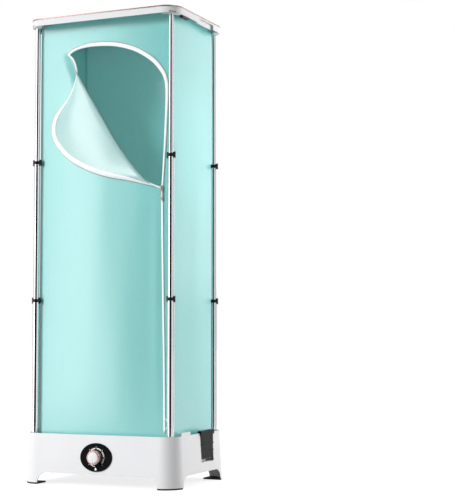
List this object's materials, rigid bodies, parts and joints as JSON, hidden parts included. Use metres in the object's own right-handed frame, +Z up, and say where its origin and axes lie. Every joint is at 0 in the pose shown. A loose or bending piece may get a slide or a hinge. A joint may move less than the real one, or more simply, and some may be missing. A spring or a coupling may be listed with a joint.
{
  "type": "folding clothes dryer",
  "caption": "Free-standing clothes dryer with a heated base, telescopic corner poles, a lid with a hanging rail and a zipped fabric cover.",
  "frame": {"origin": "on the floor, under the middle of the base", "axes": "+Z up, -Y towards the front with the dial and the zip door, +X to the right seen from the front"},
  "size_m": [0.546, 0.4079, 1.5],
  "materials": {
    "white_plastic": "moulded, satin",
    "black_plastic": "moulded, gloss",
    "grey_plastic": "moulded, matte",
    "rose_gold": "plated, rose gold",
    "lens": "milky, gloss",
    "chrome": "plated, polished",
    "steel": "plain",
    "fins": "bright",
    "motor": "dark, satin",
    "rubber": "matte",
    "teal_cloth": "woven, taut",
    "zip_tape": "woven tape with a coil",
    "slider": "enamelled"
  },
  "bodies": {
    "base": {"base_shell": "white_plastic", "base_deck": "white_plastic", "bottom_cover": "white_plastic", "outlet_grille": "white_plastic", "rubber_feet": "rubber", "pole_sockets": "black_plastic", "dial_panel": "black_plastic", "indicator_lens": "lens", "timer_unit": "grey_plastic", "fan_motor": "motor", "fan_housing": "grey_plastic", "heater_plate": "steel", "heater_fins": "fins", "thermal_cutout": "black_plastic", "mains_gland": "black_plastic", "latch_housing_left": "white_plastic", "latch_housing_right": "white_plastic", "latch_pin_left": "steel", "latch_pin_right": "steel", "lower_pole_front_left": "chrome", "lower_pole_front_right": "chrome", "lower_pole_back_left": "chrome", "lower_pole_back_right": "chrome", "cover_front": "teal_cloth", "cover_sides": "teal_cloth", "door_flap": "teal_cloth", "door_zipper": "zip_tape", "zipper_slider": "slider"},
    "timer_knob": {"timer_knob": "white_plastic", "knob_ring": "rose_gold", "timer_shaft": "steel"},
    "fan_wheel": {"fan_wheel": "grey_plastic"},
    "latch_left": {"latch_left": "black_plastic"},
    "latch_right": {"latch_right": "black_plastic"},
    "middle_poles": {"middle_pole_front_left": "chrome", "middle_pole_front_right": "chrome", "middle_pole_back_left": "chrome", "middle_pole_back_right": "chrome"},
    "upper_poles": {"upper_pole_front_left": "chrome", "upper_pole_front_right": "chrome", "upper_pole_back_left": "chrome", "upper_pole_back_right": "chrome"},
    "lid": {"lid_band": "white_plastic", "lid_dome": "white_plastic", "trim_ring": "rose_gold", "lid_liner": "white_plastic", "lid_sockets": "black_plastic", "lid_catches": "white_plastic", "locating_receivers": "black_plastic", "hanging_rail": "chrome", "rail_brackets": "white_plastic"},
    "lower_collar_front_left": {"lower_collar_front_left": "black_plastic"},
    "lower_collar_front_right": {"lower_collar_front_right": "black_plastic"},
    "lower_collar_back_left": {"lower_collar_back_left": "black_plastic"},
    "lower_collar_back_right": {"lower_collar_back_right": "black_plastic"},
    "upper_collar_front_left": {"upper_collar_front_left": "black_plastic"},
    "upper_collar_front_right": {"upper_collar_front_right": "black_plastic"},
    "upper_collar_back_left": {"upper_collar_back_left": "black_plastic"},
    "upper_collar_back_right": {"upper_collar_back_right": "black_plastic"}
  },
  "joints": [
    {"name": "timer_turn", "type": "hinge", "parent": "base", "child": "timer_knob", "pos_m": [0, -0.18856, 0.09], "axis": [0, 0.9986, -0.0522], "range_deg": [0, 315]},
    {"name": "fan_spin", "type": "hinge", "parent": "base", "child": "fan_wheel", "pos_m": [0, 0, 0.08], "axis": [0, 0, 1], "continuous": true},
    {"name": "latch_left_swing", "type": "hinge", "parent": "base", "child": "latch_left", "pos_m": [-0.2582, 0.043, 0.083], "axis": [0, -1, 0], "range_deg": [0, 100]},
    {"name": "latch_right_swing", "type": "hinge", "parent": "base", "child": "latch_right", "pos_m": [0.2582, 0.043, 0.083], "axis": [0, 1, 0], "range_deg": [0, 100]},
    {"name": "pole_lower_slide", "type": "slide", "parent": "base", "child": "middle_poles", "axis": [0, 0, -1], "range_m": [0, 0.41], "deforming": ["cover_front", "cover_sides", "door_flap", "door_zipper", "zipper_slider"]},
    {"name": "pole_upper_slide", "type": "slide", "parent": "middle_poles", "child": "upper_poles", "axis": [0, 0, -1], "range_m": [0, 0.41]},
    {"name": "lid_lift", "type": "slide", "parent": "upper_poles", "child": "lid", "axis": [0, 0, 1], "range_m": [0, 0.06]},
    {"name": "lower_twist_front_left", "type": "hinge", "parent": "base", "child": "lower_collar_front_left", "pos_m": [-0.239, -0.158, 0.574], "axis": [0, 0, -1], "range_deg": [0, 40]},
    {"name": "lower_twist_front_right", "type": "hinge", "parent": "base", "child": "lower_collar_front_right", "pos_m": [0.239, -0.158, 0.574], "axis": [0, 0, 1], "range_deg": [0, 40]},
    {"name": "lower_twist_back_left", "type": "hinge", "parent": "base", "child": "lower_collar_back_left", "pos_m": [-0.239, 0.158, 0.574], "axis": [0, 0, 1], "range_deg": [0, 40]},
    {"name": "lower_twist_back_right", "type": "hinge", "parent": "base", "child": "lower_collar_back_right", "pos_m": [0.239, 0.158, 0.574], "axis": [0, 0, -1], "range_deg": [0, 40]},
    {"name": "upper_twist_front_left", "type": "hinge", "parent": "middle_poles", "child": "upper_collar_front_left", "pos_m": [-0.239, -0.158, 1.015], "axis": [0, 0, -1], "range_deg": [0, 40]},
    {"name": "upper_twist_front_right", "type": "hinge", "parent": "middle_poles", "child": "upper_collar_front_right", "pos_m": [0.239, -0.158, 1.015], "axis": [0, 0, 1], "range_deg": [0, 40]},
    {"name": "upper_twist_back_left", "type": "hinge", "parent": "middle_poles", "child": "upper_collar_back_left", "pos_m": [-0.239, 0.158, 1.015], "axis": [0, 0, 1], "range_deg": [0, 40]},
    {"name": "upper_twist_back_right", "type": "hinge", "parent": "middle_poles", "child": "upper_collar_back_right", "pos_m": [0.239, 0.158, 1.015], "axis": [0, 0, -1], "range_deg": [0, 40]}
  ],
  "couplings": [
    {"joint": "pole_upper_slide", "follows": "pole_lower_slide", "ratio": 1}
  ]
}
